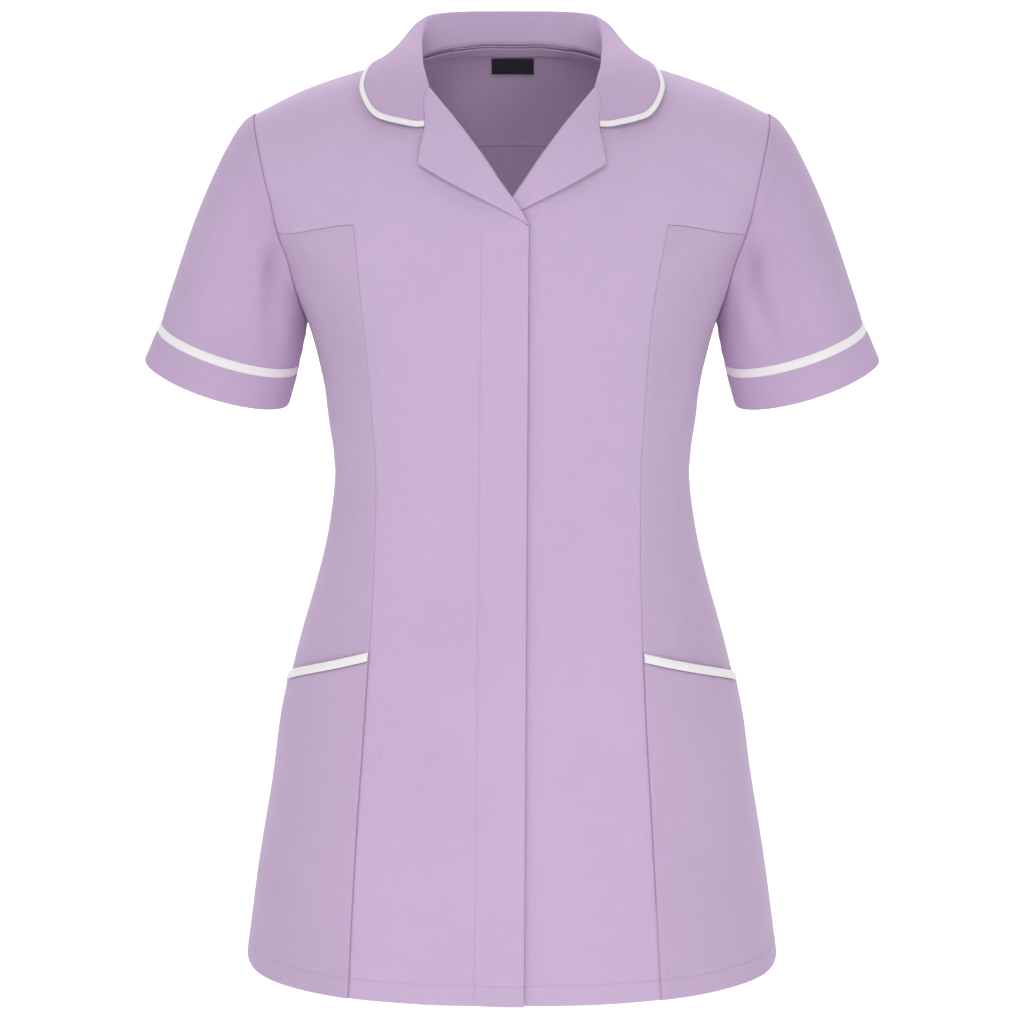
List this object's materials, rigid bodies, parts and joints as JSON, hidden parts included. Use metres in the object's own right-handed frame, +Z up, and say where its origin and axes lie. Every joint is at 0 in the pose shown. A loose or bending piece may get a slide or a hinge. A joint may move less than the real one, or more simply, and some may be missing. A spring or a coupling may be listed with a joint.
{
  "type": "medical tunic",
  "caption": "Short-sleeved nurse's tunic as worn: hollow cloth with a revere collar, concealed fly front, cuffed sleeves and slanted side pockets.",
  "frame": {"origin": "on the shoulder line beside the neck, in the middle of the neck opening, where the wearer's shoulders hold the tunic up", "axes": "+Z up along the tunic's length, front facing -Y, +X to the wearer's left"},
  "size_m": [0.5638, 0.2935, 0.7325],
  "materials": {
    "cloth": "plain-woven poly-cotton, smooth and pressed",
    "trim": "white woven contrast trim",
    "tape": "the same cloth, cut as a bias tape",
    "label": "black woven label, bare"
  },
  "bodies": {
    "root": {"front_right": "cloth", "front_left": "cloth", "side_front_right": "cloth", "side_front_left": "cloth", "lapel_right": "cloth", "lapel_left": "cloth", "back_yoke": "cloth", "back_centre": "cloth", "side_back_right": "cloth", "side_back_left": "cloth", "sleeve_right": "cloth", "sleeve_left": "cloth", "cuff_right": "cloth", "cuff_left": "cloth", "collar": "cloth", "pocket_right": "cloth", "pocket_left": "cloth", "sleeve_band_right": "trim", "sleeve_band_left": "trim", "collar_edge": "trim", "pocket_band_right": "trim", "pocket_band_left": "trim", "neck_tape": "tape", "label": "label"}
  },
  "joints": []
}
